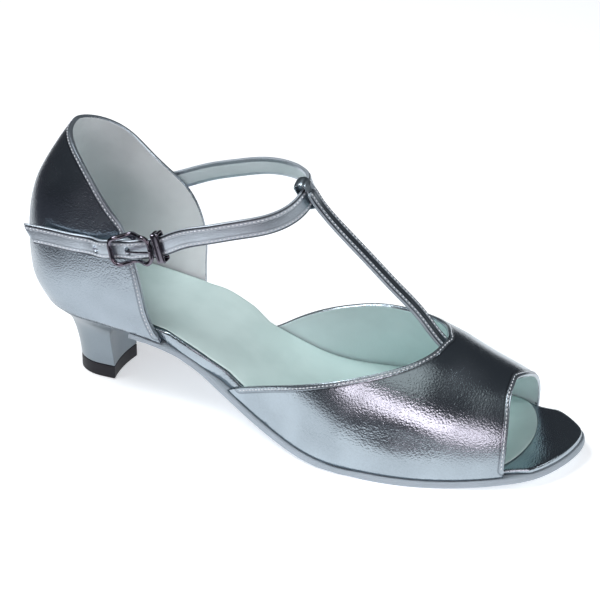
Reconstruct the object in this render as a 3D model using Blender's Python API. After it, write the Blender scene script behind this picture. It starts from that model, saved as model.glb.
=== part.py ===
# Right peep-toe T-bar dance shoe, in metres: +X to the toe, +Y to the inner side, +Z up.

import math
from collections import namedtuple

import bmesh
import bpy
import numpy as np
from mathutils import Vector

# Driving dimensions
LENGTH = 0.2384            # back of the counter to the tip of the toe
BALL_WIDTH = 0.0855        # sole across the ball
HEEL_RISE = 0.0343         # bed at the back of the seat above the bed at the ball
TOE_SPRING = 0.0056        # lift of the sole's tip
SEAT_BACK = 0.0040         # back of the seat ahead of the counter's bulge
SEAT_ROUND = 0.0270        # depth of the rounded back of the seat
TOE_ROUND = 0.0334         # depth of the rounded toe
HEEL_BREAST = 0.0520       # front of the heel's top
SEAT_MIDDLE = 0.09         # of LENGTH: place whose height the strap's rows start from
TIP_HEIGHT = 0.0062        # top piece under the heel
TIP_BREAK = 0.0004         # broken lower edge of the top piece
BREAST_HOLLOW = 0.0012     # dish across the heel's front face
OUTSOLE_THICK = 0.0027
BOARD_WAIST = 0.0052       # insole board over the shank
BOARD_FORE = 0.0022        # insole board under the toes
BOARD_WAIST_END = 0.40     # of LENGTH: board starts to get thinner
BOARD_FORE_START = 0.60    # of LENGTH: board is thin from here
SOCK_THICK = 0.0008
SOCK_SHORT = 0.0189        # bare board in front of the sock lining
SOCK_ROUND = 0.0110
SOCK_MARGIN = 0.0008       # sock's edge inside the board's edge
EDGE_ROUND = 0.0005        # broken edge of the sole pieces
COUNTER_HEIGHT = 0.0780    # collar at the back, above the seat
COUNTER_WALL = 0.0020
VAMP_RISE = 0.0620         # highest line of the vamp's last above the bed
VAMP_WALL = 0.0018
VAMP_MARGIN = 0.0010       # outsole showing outside the vamp
WAIST_MARGIN = 0.0005      # board's edge inside the outsole's edge at the waist
TOE_MARGIN = 0.0008        # board's edge inside the outsole's edge at the toe
OUTER_FULLNESS = 2.0       # squareness of the vamp's arch on its outer side
INNER_FULLNESS = 1.8       # and on its inner side
RIDGE_SHIFT = -0.0045      # vamp's highest line, toward the outer side
STRAP_WIDTH = 0.0083
STRAP_THICK = 0.0020
STRAP_POINT = 0.0056       # slant of the cut at the strap's end
STRAP_SPAN = 0.351         # of BALL_WIDTH: half of the space between the strap's two sides
HOLE_RADIUS = 0.00115
SPARE_HOLE = 0.0175        # from the prong's hole to the next one
T_BAR_WIDTH = 0.0082
T_BAR_NECK = 0.0074        # its width at the loop
T_BAR_ASIDE = 0.0010       # its upper end beside the loop's middle, toward the outer side
T_BAR_FLARE = 0.30         # share of its length over which it gets wider
T_BAR_THICK = 0.0018
T_BAR_SHIFT = -0.0055      # sideways lean of the T-bar's lower end
T_BAR_TAIL = 0.0150        # part of the T-bar under the vamp
LOOP_WALL = 0.0011
LOOP_WIDTH = 0.0058        # loop along the ankle strap
LOOP_ROOM = 0.0020         # spare height inside the loop, above the strap
LOOP_ROUND = 0.6           # roundness of the loop's ends, 1 for a half circle
TAB_WIDTH = 0.0068
TAB_THICK = 0.0014
TAB_LENGTH = 0.0140
FRAME_LENGTH = 0.0178      # buckle frame between the centres of its ends
FRAME_HEIGHT = 0.0115      # and between the centres of its sides
FRAME_CORNER = 0.0032
FRAME_WIRE = 0.0011        # radius of the frame's wire
BAR_WIRE = 0.0007
PRONG_WIRE = 0.0005
BUCKLE_ALONG = 0.2460      # of LENGTH
BUCKLE_UP = 0.520          # of COUNTER_HEIGHT above the seat's height
BUCKLE_SLOPE = 0.22        # rise of the strap toward the front there
STRAP_LEAVES = 0.0214      # strap's first free place in front of the bar
STRAP_CLIMBS = 0.0034      # and its height there above the buckle's line
KEEPER_LENGTH = 0.0036
KEEPER_WALL = 0.0009
KEEPER_RIB = 0.0003
KEEPER_SET = 0.0005        # keeper ahead of the frame's end
KEEPER_UPRIGHT = 0.7       # share of the strap's slant that the keeper leaves out
KEEPER_ROOM = 0.0006       # spare height inside the keeper, for the slant left out
GAP = 0.0003               # between neighbours
RIM_GAP = 0.0004           # under the upper's lower edges
END_CUT = 0.00004          # blunt tip where a rounded plate ends
LIP = 0.0080               # length over which the board's edge steps in or out

SoleRow = namedtuple("SoleRow", "along rise spring centre half")
CounterRow = namedtuple("CounterRow", "up back half outer_front inner_front")
CollarRow = namedtuple("CollarRow", "around up")
VampRow = namedtuple("VampRow", "along ridge")
ThroatRow = namedtuple("ThroatRow", "turn outer inner")
ToeRow = namedtuple("ToeRow", "turn outer inner")
HeelRow = namedtuple("HeelRow", "up back breast half rounding")
StrapRow = namedtuple("StrapRow", "along across up lean tilt")
WallRow = namedtuple("WallRow", "along up")
BowRow = namedtuple("BowRow", "share bow")

# along is a share of LENGTH, rise of HEEL_RISE, spring of TOE_SPRING, widths of BALL_WIDTH
SOLE = (
    SoleRow(0.00, 1.000, 0.00, 0.000, 0.285),
    SoleRow(0.08, 0.975, 0.00, 0.000, 0.295),
    SoleRow(0.15, 0.940, 0.00, 0.000, 0.300),
    SoleRow(0.22, 0.890, 0.00, 0.000, 0.298),
    SoleRow(0.27, 0.840, 0.00, 0.000, 0.297),
    SoleRow(0.30, 0.790, 0.00, 0.000, 0.297),
    SoleRow(0.35, 0.650, 0.00, -0.005, 0.298),
    SoleRow(0.40, 0.450, 0.00, -0.015, 0.313),
    SoleRow(0.45, 0.290, 0.00, -0.025, 0.347),
    SoleRow(0.50, 0.160, 0.00, -0.034, 0.385),
    SoleRow(0.55, 0.065, 0.00, -0.031, 0.436),
    SoleRow(0.60, 0.015, 0.00, -0.019, 0.482),
    SoleRow(0.64, 0.000, 0.00, -0.008, 0.499),
    SoleRow(0.69, 0.000, 0.00, -0.003, 0.498),
    SoleRow(0.75, 0.000, 0.00, 0.000, 0.478),
    SoleRow(0.80, 0.000, 0.01, 0.008, 0.445),
    SoleRow(0.85, 0.000, 0.17, 0.015, 0.406),
    SoleRow(0.90, 0.000, 0.38, 0.020, 0.366),
    SoleRow(0.95, 0.000, 0.62, 0.033, 0.352),
    SoleRow(0.98, 0.000, 0.82, 0.052, 0.320),
    SoleRow(1.00, 0.000, 1.00, 0.088, 0.300),
)

# up is a share of COUNTER_HEIGHT, back and fronts of LENGTH, half of the seat's half width
COUNTER = (
    CounterRow(0.00, 0.015, 1.00, 0.280, 0.275),
    CounterRow(0.05, 0.004, 1.03, 0.271, 0.274),
    CounterRow(0.11, -0.004, 1.05, 0.262, 0.273),
    CounterRow(0.17, -0.008, 1.07, 0.256, 0.272),
    CounterRow(0.25, -0.010, 1.10, 0.252, 0.272),
    CounterRow(0.35, -0.010, 1.11, 0.246, 0.269),
    CounterRow(0.45, -0.008, 1.10, 0.237, 0.261),
    CounterRow(0.55, -0.003, 1.07, 0.224, 0.246),
    CounterRow(0.65, 0.006, 1.02, 0.211, 0.220),
    CounterRow(0.75, 0.023, 0.95, 0.204, 0.206),
    CounterRow(0.85, 0.043, 0.86, 0.198, 0.198),
    CounterRow(0.93, 0.060, 0.79, 0.193, 0.193),
    CounterRow(1.00, 0.077, 0.74, 0.189, 0.189),
)

# around runs from the back of the heel to the front edge, up is a share of COUNTER_HEIGHT
COLLAR = (
    CollarRow(0.00, 1.00),
    CollarRow(0.23, 0.98),
    CollarRow(0.45, 0.95),
    CollarRow(0.65, 0.90),
    CollarRow(0.79, 0.83),
    CollarRow(0.89, 0.74),
    CollarRow(1.00, 0.62),
)

# along is a share of LENGTH, ridge of VAMP_RISE
VAMP = (
    VampRow(0.38, 0.93),
    VampRow(0.50, 1.00),
    VampRow(0.58, 0.97),
    VampRow(0.65, 0.89),
    VampRow(0.70, 0.83),
    VampRow(0.77, 0.75),
    VampRow(0.84, 0.62),
    VampRow(0.89, 0.53),
    VampRow(1.00, 0.25),
)

# turn runs from the sole to the ridge, outer and inner are shares of LENGTH
THROAT = (
    ThroatRow(0.00, 0.407, 0.392),
    ThroatRow(0.06, 0.429, 0.412),
    ThroatRow(0.19, 0.493, 0.455),
    ThroatRow(0.32, 0.567, 0.510),
    ThroatRow(0.45, 0.642, 0.585),
    ThroatRow(0.57, 0.698, 0.660),
    ThroatRow(0.66, 0.729, 0.710),
    ThroatRow(0.81, 0.756, 0.748),
    ThroatRow(1.00, 0.767, 0.767),
)
TOE_OPENING = (
    ToeRow(0.00, 0.900, 0.900),
    ToeRow(0.25, 0.899, 0.903),
    ToeRow(0.50, 0.895, 0.904),
    ToeRow(0.75, 0.889, 0.901),
    ToeRow(1.00, 0.888, 0.888),
)

# up runs from the top piece to the seat, back and breast are shares of LENGTH,
# half of the seat's half width, rounding of SEAT_ROUND
HEEL = (
    HeelRow(0.00, 0.0745, 0.1595, 0.43, 0.48),
    HeelRow(0.12, 0.0730, 0.1580, 0.435, 0.48),
    HeelRow(0.30, 0.0695, 0.1560, 0.45, 0.50),
    HeelRow(0.50, 0.0630, 0.1560, 0.50, 0.56),
    HeelRow(0.68, 0.0540, 0.1600, 0.59, 0.67),
    HeelRow(0.82, 0.0400, 0.1730, 0.74, 0.82),
    HeelRow(0.92, 0.0280, 0.1930, 0.90, 0.93),
    HeelRow(1.00, 0.0168, 0.2180, 1.00, 1.00),
)

# along is a share of LENGTH, across of the strap's span, up of COUNTER_HEIGHT above the seat,
# lean tips the strap's top back and tilt tips it toward the middle
STRAP = (
    StrapRow(0.270, 0.97, 0.640, 0.05, 0.16),
    StrapRow(0.328, 0.92, 0.705, 0.12, 0.22),
    StrapRow(0.388, 0.83, 0.765, 0.22, 0.25),
    StrapRow(0.443, 0.65, 0.800, 0.32, 0.20),
    StrapRow(0.482, 0.39, 0.820, 0.38, 0.10),
    StrapRow(0.502, 0.15, 0.822, 0.40, 0.00),
    StrapRow(0.506, -0.01, 0.808, 0.40, 0.00),
    StrapRow(0.505, -0.17, 0.783, 0.38, 0.00),
    StrapRow(0.489, -0.50, 0.742, 0.28, 0.04),
    StrapRow(0.460, -0.78, 0.724, 0.20, 0.08),
    StrapRow(0.422, -0.95, 0.706, 0.14, 0.10),
    StrapRow(0.379, -1.05, 0.673, 0.10, 0.08),
)
STRAP_ROOT = (
    WallRow(0.155, 0.500),
    WallRow(0.180, 0.525),
    WallRow(0.210, 0.560),
)
STRAP_TAIL = (
    WallRow(0.164, 0.470),
    WallRow(0.130, 0.468),
    WallRow(0.092, 0.468),
)
STRAP_END = WallRow(0.041, 0.465)

# share runs from the loop to the throat, bow is a share of T_BAR_THICK off the straight line
T_BAR_BOW = (
    BowRow(0.20, -0.2),
    BowRow(0.41, 0.0),
    BowRow(0.60, 0.15),
    BowRow(0.78, 0.3),
)


class SmoothCurve:
    # Monotone cubic through knots, level with its end knots beyond them.

    def __init__(self, knots):
        self.at = [knot[0] for knot in knots]
        self.value = [knot[1] for knot in knots]
        width = [b - a for a, b in zip(self.at, self.at[1:])]
        rate = [(b - a) / w for a, b, w in zip(self.value, self.value[1:], width)]
        self.slope = [rate[0]]
        for i in range(1, len(rate)):
            before, after = rate[i - 1], rate[i]
            if before * after <= 0.0:
                self.slope.append(0.0)
                continue
            near = 2 * width[i] + width[i - 1]
            far = width[i] + 2 * width[i - 1]
            self.slope.append((near + far) / (near / before + far / after))
        self.slope.append(rate[-1])

    def __call__(self, x):
        if x <= self.at[0]:
            return self.value[0]
        if x >= self.at[-1]:
            return self.value[-1]
        i = max(k for k, knot in enumerate(self.at) if knot <= x)
        width = self.at[i + 1] - self.at[i]
        t = (x - self.at[i]) / width
        start = self.value[i] * (1 + 2 * t) + self.slope[i] * width * t
        end = self.value[i + 1] * (3 - 2 * t) - self.slope[i + 1] * width * (1 - t)
        return start * (1 - t) ** 2 + end * t * t


def column(rows, key, value):
    return SmoothCurve([(getattr(row, key), getattr(row, value)) for row in rows])


class SmoothPath:
    # Natural cubic spline through points, measured by the chords between them.

    def __init__(self, points):
        self.points = np.array([tuple(point) for point in points])
        chords = np.linalg.norm(np.diff(self.points, axis=0), axis=1)
        self.knots = np.concatenate([[0.0], np.cumsum(chords)])
        self.length = float(self.knots[-1])
        count = len(self.points)
        system = np.zeros((count, count))
        right = np.zeros((count, 3))
        system[0, 0] = system[-1, -1] = 1.0
        for i in range(1, count - 1):
            before, after = chords[i - 1], chords[i]
            system[i, i - 1:i + 2] = before, 2 * (before + after), after
            rise = (self.points[i + 1] - self.points[i]) / after
            right[i] = 6 * (rise - (self.points[i] - self.points[i - 1]) / before)
        self.bend = np.linalg.solve(system, right)

    def point(self, distance):
        i = int(np.clip(np.searchsorted(self.knots, distance) - 1, 0, len(self.knots) - 2))
        width = self.knots[i + 1] - self.knots[i]
        b = (distance - self.knots[i]) / width
        a = 1.0 - b
        straight = a * self.points[i] + b * self.points[i + 1]
        curve = (a ** 3 - a) * self.bend[i] + (b ** 3 - b) * self.bend[i + 1]
        return Vector(straight + curve * width * width / 6)

    def direction(self, distance, step=0.0002):
        low = max(distance - step, 0.0)
        high = min(distance + step, self.length)
        return (self.point(high) - self.point(low)).normalized()


bed_rise = column(SOLE, "along", "rise")
bed_spring = column(SOLE, "along", "spring")
sole_centre = column(SOLE, "along", "centre")
sole_half = column(SOLE, "along", "half")
counter_back = column(COUNTER, "up", "back")
counter_half = column(COUNTER, "up", "half")
counter_fronts = {-1: column(COUNTER, "up", "outer_front"), 1: column(COUNTER, "up", "inner_front")}
collar_up = column(COLLAR, "around", "up")
vamp_ridge = column(VAMP, "along", "ridge")
throat_edge = {-1: column(THROAT, "turn", "outer"), 1: column(THROAT, "turn", "inner")}
toe_edge = {-1: column(TOE_OPENING, "turn", "outer"), 1: column(TOE_OPENING, "turn", "inner")}


def bed_height(x):
    share = x / LENGTH
    return OUTSOLE_THICK + HEEL_RISE * bed_rise(share) + TOE_SPRING * bed_spring(share)


def bed_angle(x, step=0.0005):
    return math.atan2(bed_height(x + step) - bed_height(x - step), 2 * step)


def bed_point(x, y, lift):
    angle = bed_angle(x)
    return Vector((x - lift * math.sin(angle), y, bed_height(x) + lift * math.cos(angle)))


SEAT_LEVEL = bed_height(LENGTH * SEAT_MIDDLE)


def end_round(distance, depth):
    share = min(max(distance / depth, 0.0), 1.0)
    return math.sqrt(share * (2 - share))


def seat_half(x):
    return BALL_WIDTH * sole_half(x / LENGTH)


def sole_sides(x, inset, front=LENGTH, front_depth=TOE_ROUND):
    half = seat_half(x) - inset
    half *= end_round(x - SEAT_BACK - inset, SEAT_ROUND - inset)
    half *= end_round(front - inset - x, front_depth - inset)
    middle = BALL_WIDTH * sole_centre(x / LENGTH)
    return middle - half, middle + half


def stations(start, end, count, kept=()):
    # Close together near both ends, with the kept places exact.
    turns = [math.pi * i / (count - 1) for i in range(count)]
    spread = [start + (end - start) * (1 - math.cos(turn)) / 2 for turn in turns]
    clear = [x for x in spread if all(abs(x - place) > EDGE_ROUND for place in kept)]
    return sorted(clear + list(kept))


def loft(rings, closed=True, capped=True, wrapped=False):
    # Skins a row of rings by extruding each ring into the next.
    mesh = bmesh.new()
    row = [mesh.verts.new(point) for point in rings[0]]
    last = len(row) if closed else len(row) - 1
    first_edges = [mesh.edges.new((row[i], row[(i + 1) % len(row)])) for i in range(last)]
    edges = first_edges
    for ring in rings[1:]:
        grown = bmesh.ops.extrude_edge_only(mesh, edges=edges)["geom"]
        fresh = {item for item in grown if isinstance(item, bmesh.types.BMVert)}
        row = [next(e.other_vert(v) for e in v.link_edges if e.other_vert(v) in fresh) for v in row]
        edges = [item for item in grown if isinstance(item, bmesh.types.BMEdge)]
        edges = [edge for edge in edges if set(edge.verts) <= fresh]
        for vert, point in zip(row, ring):
            vert.co = point
    if wrapped:
        bmesh.ops.bridge_loops(mesh, edges=first_edges + edges)
    elif capped:
        rims = [edge for edge in mesh.edges if edge.is_boundary]
        bmesh.ops.holes_fill(mesh, edges=rims, sides=0)
    bmesh.ops.recalc_face_normals(mesh, faces=mesh.faces)
    return mesh


def face_away_from(mesh, inside):
    facing = 0.0
    for face in mesh.faces:
        facing += (face.calc_center_median() - inside).dot(face.normal) * face.calc_area()
    if facing < 0.0:
        bmesh.ops.reverse_faces(mesh, faces=mesh.faces)


def finish_material(name, colour, roughness, metallic):
    made = bpy.data.materials.new(name)
    made.use_nodes = True
    shader = made.node_tree.nodes["Principled BSDF"]
    shader.inputs["Base Color"].default_value = (*colour, 1.0)
    shader.inputs["Roughness"].default_value = roughness
    shader.inputs["Metallic"].default_value = metallic
    return made


def add_object(name, mesh, material, sharp=math.radians(40)):
    data = bpy.data.meshes.new(name)
    mesh.to_mesh(data)
    mesh.free()
    data.materials.append(material)
    data.shade_smooth()
    data.set_sharp_from_angle(angle=sharp)
    made = bpy.data.objects.new(name, data)
    made.location.x = -HEEL_REST
    bpy.context.collection.objects.link(made)
    return made


def thicken(made, wall):
    shell = made.modifiers.new("wall", "SOLIDIFY")
    shell.thickness = wall
    shell.offset = -1.0


def cut(made, name, mesh):
    # Takes a hidden cutter out of a piece.
    tool = add_object(name, mesh, made.data.materials[0])
    tool.hide_render = True
    tool.display_type = "WIRE"
    change = made.modifiers.new(name, "BOOLEAN")
    change.operation = "DIFFERENCE"
    change.object = tool


def fuse(made, name, mesh):
    # Joins a hidden form to a piece, as one body.
    tool = add_object(name, mesh, made.data.materials[0])
    tool.hide_render = True
    tool.display_type = "WIRE"
    change = made.modifiers.new(name, "BOOLEAN")
    change.operation = "UNION"
    change.object = tool


def plate_ring(x, low, high, sides):
    # Flat section across the shoe with its four long edges broken.
    outer, inner = sides
    edge = min(EDGE_ROUND, (high - low) / 3)
    corners = (
        (outer, low + edge), (outer, high - edge), (outer + edge, high), (inner - edge, high),
        (inner, high - edge), (inner, low + edge), (inner - edge, low), (outer + edge, low),
    )
    return [bed_point(x, y, lift) for y, lift in corners]


# Sole pieces
def board_thickness(x):
    share = (x / LENGTH - BOARD_WAIST_END) / (BOARD_FORE_START - BOARD_WAIST_END)
    share = min(max(share, 0.0), 1.0)
    blend = share * share * (3 - 2 * share)
    return BOARD_WAIST + (BOARD_FORE - BOARD_WAIST) * blend


def board_steps():
    # Places where the board's edge moves between the upper's inside and the sole's edge.
    counter_end = LENGTH * max(COUNTER[0].outer_front, COUNTER[0].inner_front) + GAP
    wing_start = LENGTH * min(THROAT[0].outer, THROAT[0].inner) - GAP
    toe_end = LENGTH * max(max(row.outer, row.inner) for row in TOE_OPENING) + GAP
    return counter_end, counter_end + LIP, wing_start - LIP, wing_start, toe_end, toe_end + LIP


def board_inset(x):
    heel = COUNTER_WALL + GAP
    fore = VAMP_MARGIN + VAMP_WALL + GAP
    insets = (heel, WAIST_MARGIN, WAIST_MARGIN, fore, fore, TOE_MARGIN)
    return SmoothCurve(list(zip(board_steps(), insets)))(x)


def make_outsole(material):
    rings = []
    for x in stations(HEEL_BREAST + GAP, LENGTH - END_CUT, 46):
        rings.append(plate_ring(x, -OUTSOLE_THICK, 0.0, sole_sides(x, 0.0)))
    return add_object("outsole", loft(rings), material)


def make_insole(material):
    start = SEAT_BACK + COUNTER_WALL + GAP + END_CUT
    end = LENGTH - TOE_MARGIN - END_CUT
    rings = []
    for x in stations(start, end, 50, board_steps()):
        rings.append(plate_ring(x, GAP, GAP + board_thickness(x), sole_sides(x, board_inset(x))))
    return add_object("insole", loft(rings), material)


def make_sock_lining(material):
    sock_front = LENGTH - SOCK_SHORT
    inset_start = board_inset(SEAT_BACK) + SOCK_MARGIN
    start = SEAT_BACK + inset_start + END_CUT
    rings = []
    for x in stations(start, sock_front - END_CUT, 44, board_steps()[:4]):
        inset = board_inset(x) + SOCK_MARGIN
        outer, inner = sole_sides(x, inset)
        middle = (outer + inner) / 2
        half = (inner - outer) / 2 * end_round(sock_front - x, SOCK_ROUND)
        low = 2 * GAP + board_thickness(x)
        rings.append(plate_ring(x, low, low + SOCK_THICK, (middle - half, middle + half)))
    return add_object("sock_lining", loft(rings), material)


# Counter
def counter_side(x, up, side):
    # Outer face of the counter, across the shoe.
    half = seat_half(x) * counter_half(up) * end_round(x - LENGTH * counter_back(up), SEAT_ROUND)
    return side * half + BALL_WIDTH * sole_centre(x / LENGTH)


def counter_point(around, up):
    side = 1 if around >= 0 else -1
    back = LENGTH * counter_back(up)
    front = LENGTH * counter_fronts[side](up)
    x = back + (front - back) * (1 - math.cos(math.pi / 2 * abs(around)))
    z = bed_height(x) + RIM_GAP + up * COUNTER_HEIGHT
    return Vector((x, counter_side(x, up, side), z))


def make_counter(material, columns=34, rows=14):
    rings = []
    for j in range(rows + 1):
        ring = []
        for i in range(columns + 1):
            around = 2 * i / columns - 1
            ring.append(counter_point(around, collar_up(abs(around)) * j / rows))
        rings.append(ring)
    mesh = loft(rings, closed=False, capped=False)
    face_away_from(mesh, Vector((HEEL_BREAST / 2, 0.0, COUNTER_HEIGHT)))
    made = add_object("counter", mesh, material)
    thicken(made, COUNTER_WALL)
    return made


# Vamp
def vamp_point(x, turn, side):
    # turn runs from 0 at the sole to 1 at the ridge.
    fullness = OUTER_FULLNESS if side < 0 else INNER_FULLNESS
    angle = math.pi / 2 * turn
    edge = sole_sides(x, VAMP_MARGIN)[0 if side < 0 else 1]
    foot = bed_height(x) + RIM_GAP
    y = RIDGE_SHIFT + (edge - RIDGE_SHIFT) * max(math.cos(angle), 0.0) ** (2 / fullness)
    z = foot + VAMP_RISE * vamp_ridge(x / LENGTH) * math.sin(angle) ** (2 / fullness)
    return Vector((x, y, z))


def vamp_height(x, y):
    # Outer face of the vamp above a place near its ridge.
    side = -1 if y < RIDGE_SHIFT else 1
    fullness = OUTER_FULLNESS if side < 0 else INNER_FULLNESS
    edge = sole_sides(x, VAMP_MARGIN)[0 if side < 0 else 1]
    share = abs((y - RIDGE_SHIFT) / (edge - RIDGE_SHIFT))
    rise = VAMP_RISE * vamp_ridge(x / LENGTH)
    return bed_height(x) + RIM_GAP + rise * (1 - share ** fullness) ** (1 / fullness)


def make_vamp(material, columns=18, rows=30):
    rings = []
    for j in range(rows + 1):
        turn = 1 - abs(2 * j / rows - 1)
        side = -1 if j <= rows / 2 else 1
        start = LENGTH * throat_edge[side](turn)
        end = LENGTH * toe_edge[side](turn)
        places = [start + (end - start) * i / columns for i in range(columns + 1)]
        rings.append([vamp_point(x, turn, side) for x in places])
    mesh = loft(rings, closed=False, capped=False)
    middle = LENGTH * (throat_edge[1](1.0) + toe_edge[1](1.0)) / 2
    face_away_from(mesh, Vector((middle, 0.0, 0.0)))
    made = add_object("vamp", mesh, material)
    thicken(made, VAMP_WALL)
    return made


# Heel
def heel_ring(row, steps=9, inset=0.0):
    back = LENGTH * row.back + inset
    breast = LENGTH * row.breast - inset
    depth = min(SEAT_ROUND * row.rounding, breast - back)
    outer = []
    for i in range(1, steps + 1):
        x = back + (breast - back) * (1 - math.cos(math.pi / 2 * i / steps))
        y = (seat_half(x) * row.half - inset) * end_round(x - back, depth)
        outer.append((x, y))
    half = outer[-1][1]
    face = [(breast - BREAST_HOLLOW * (1 - t * t), half * t) for t in (0.6, 0.2, -0.2, -0.6)]
    return outer + face + [(x, -y) for x, y in reversed(outer)] + [(back, 0.0)]


HEEL_REST = LENGTH * (HEEL[0].back + HEEL[0].breast) / 2


def make_heel(material):
    foot = TIP_HEIGHT + GAP
    rings = []
    for row in HEEL:
        ring = []
        for x, y in heel_ring(row):
            ring.append(Vector((x, y, foot + row.up * (bed_height(x) - foot))))
        rings.append(ring)
    return add_object("heel", loft(rings), material)


def make_heel_tip(material):
    levels = ((0.0, TIP_BREAK), (TIP_BREAK, 0.0), (TIP_HEIGHT, 0.0))
    rings = [[Vector((x, y, z)) for x, y in heel_ring(HEEL[0], inset=inset)] for z, inset in levels]
    return add_object("heel_tip", loft(rings), material)


# Buckle place: s forward along the strap, n away from the foot, w up across the strap
BUCKLE_ZONE = (-0.74, -0.50, -0.26, 0.00, 0.26, 0.50)    # shares of FRAME_LENGTH
tab_seat = TAB_THICK * 0.65
pitch = math.atan(BUCKLE_SLOPE)
forward = Vector((math.cos(pitch), 0.0, math.sin(pitch)))
outward = Vector((0.0, -1.0, 0.0))
upward = Vector((-math.sin(pitch), 0.0, math.cos(pitch)))


def buckle_origin():
    x = LENGTH * BUCKLE_ALONG
    z = SEAT_LEVEL + COUNTER_HEIGHT * BUCKLE_UP
    spread = []
    for back in (0.0, 0.5, 1.0):
        for lower in (0.0, 0.05):
            spread.append(counter_side(x - TAB_LENGTH * back, BUCKLE_UP - lower, -1))
    return Vector((x, min(spread) - GAP - tab_seat - TAB_THICK / 2, z))


BAR_CENTRE = buckle_origin()


def at_buckle(s, n, w):
    return BAR_CENTRE + forward * s + outward * n + upward * w


def strap_lift(s):
    # Strap's middle above the bar's middle: over the wrapped bar, and lower past it.
    top = BAR_WIRE + GAP + TAB_THICK + GAP + STRAP_THICK / 2
    low = tab_seat + GAP + STRAP_THICK / 2 + GAP
    return low + (top - low) * math.exp(-(s / (FRAME_LENGTH / 4)) ** 2)


# Ankle strap
def strap_rows():
    # Strap's middle from its root on the inner side to its free tail, with its lean and tilt.
    off_wall = GAP + STRAP_THICK / 2 + GAP
    places = []
    for row in STRAP_ROOT:
        x = LENGTH * row.along
        y = counter_side(x, row.up, 1) + off_wall
        places.append((Vector((x, y, SEAT_LEVEL + row.up * COUNTER_HEIGHT)), 0.0, 0.08))
    for row in STRAP:
        y = BALL_WIDTH * STRAP_SPAN * row.across
        point = Vector((LENGTH * row.along, y, SEAT_LEVEL + row.up * COUNTER_HEIGHT))
        places.append((point, row.lean, row.tilt))
    leaving = at_buckle(STRAP_LEAVES, strap_lift(STRAP_LEAVES), STRAP_CLIMBS)
    places.append((leaving, BUCKLE_SLOPE, 0.0))
    for share in reversed(BUCKLE_ZONE):
        s = FRAME_LENGTH * share
        places.append((at_buckle(s, strap_lift(s), 0.0), BUCKLE_SLOPE, 0.0))
    for row in STRAP_TAIL:
        x = LENGTH * row.along
        y = counter_side(x, row.up, -1) - off_wall
        places.append((Vector((x, y, SEAT_LEVEL + row.up * COUNTER_HEIGHT)), 0.0, 0.0))
    step = places[-1][0] - places[-2][0]
    x = LENGTH * STRAP_END.along
    y = places[-1][0].y + step.y / step.x * (x - places[-1][0].x)
    places.append((Vector((x, y, SEAT_LEVEL + STRAP_END.up * COUNTER_HEIGHT)), 0.0, 0.0))
    return places


def strap_frame(distance):
    along = strap_path.direction(distance)
    up = Vector((-strap_lean(distance), -strap_tilt(distance), 1.0))
    up = (up - along * up.dot(along)).normalized()
    return strap_path.point(distance), along, up.cross(along), up


def strap_section(centre, out, up, width, thick):
    edge = thick / 4
    w, n = width / 2, thick / 2
    upper = [(n, w - edge), (n - edge, w), (-n + edge, w), (-n, w - edge)]
    lower = [(-across, -rise) for across, rise in upper]
    return [centre + out * across + up * rise for across, rise in upper + lower]


strap_places = strap_rows()
strap_path = SmoothPath([point for point, lean, tilt in strap_places])
strap_knots = [float(knot) for knot in strap_path.knots]
strap_lean = SmoothCurve(list(zip(strap_knots, (lean for point, lean, tilt in strap_places))))
strap_tilt = SmoothCurve(list(zip(strap_knots, (tilt for point, lean, tilt in strap_places))))


def nearest_on_strap(place, steps=1200):
    distances = [strap_path.length * i / steps for i in range(steps + 1)]
    return min(distances, key=lambda distance: (strap_path.point(distance) - place).length)


def strap_hole(s, lift):
    centre = at_buckle(s, lift, 0.0)
    rings = []
    for reach in (-STRAP_THICK, STRAP_THICK):
        turn = [2 * math.pi * i / 12 for i in range(12)]
        rings.append([centre + outward * reach + forward * HOLE_RADIUS * math.cos(a)
                      + upward * HOLE_RADIUS * math.sin(a) for a in turn])
    return loft(rings)


def make_ankle_strap(material, count=84):
    rings = []
    for i in range(count + 1):
        centre, along, out, up = strap_frame(strap_path.length * i / count)
        ring = strap_section(centre, out, up, STRAP_WIDTH, STRAP_THICK)
        if i == count:
            ring = [p + along * STRAP_POINT * ((p - centre).dot(up) / STRAP_WIDTH) for p in ring]
        rings.append(ring)
    made = add_object("ankle_strap", loft(rings), material)
    cut(made, "prong_hole", strap_hole(-PRONG_REACH, strap_lift(0.0)))
    cut(made, "spare_hole", strap_hole(-SPARE_HOLE, strap_lift(FRAME_LENGTH)))
    return made


# T-bar
def rounded_box(half_s, half_w, corner, steps=3):
    points = []
    for sx, sy, start in ((1, 1, 0), (-1, 1, 90), (-1, -1, 180), (1, -1, 270)):
        for i in range(steps + 1):
            a = math.radians(start + 90 * i / steps)
            s = sx * (half_s - corner) + corner * math.cos(a)
            points.append((s, sy * (half_w - corner) + corner * math.sin(a)))
    return points


def tube_profile(inner, outer, low, high):
    # Four rings that skin a hollow tube, outside then inside.
    return [(outer, low), (outer, high), (inner, high), (inner, low)]


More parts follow.
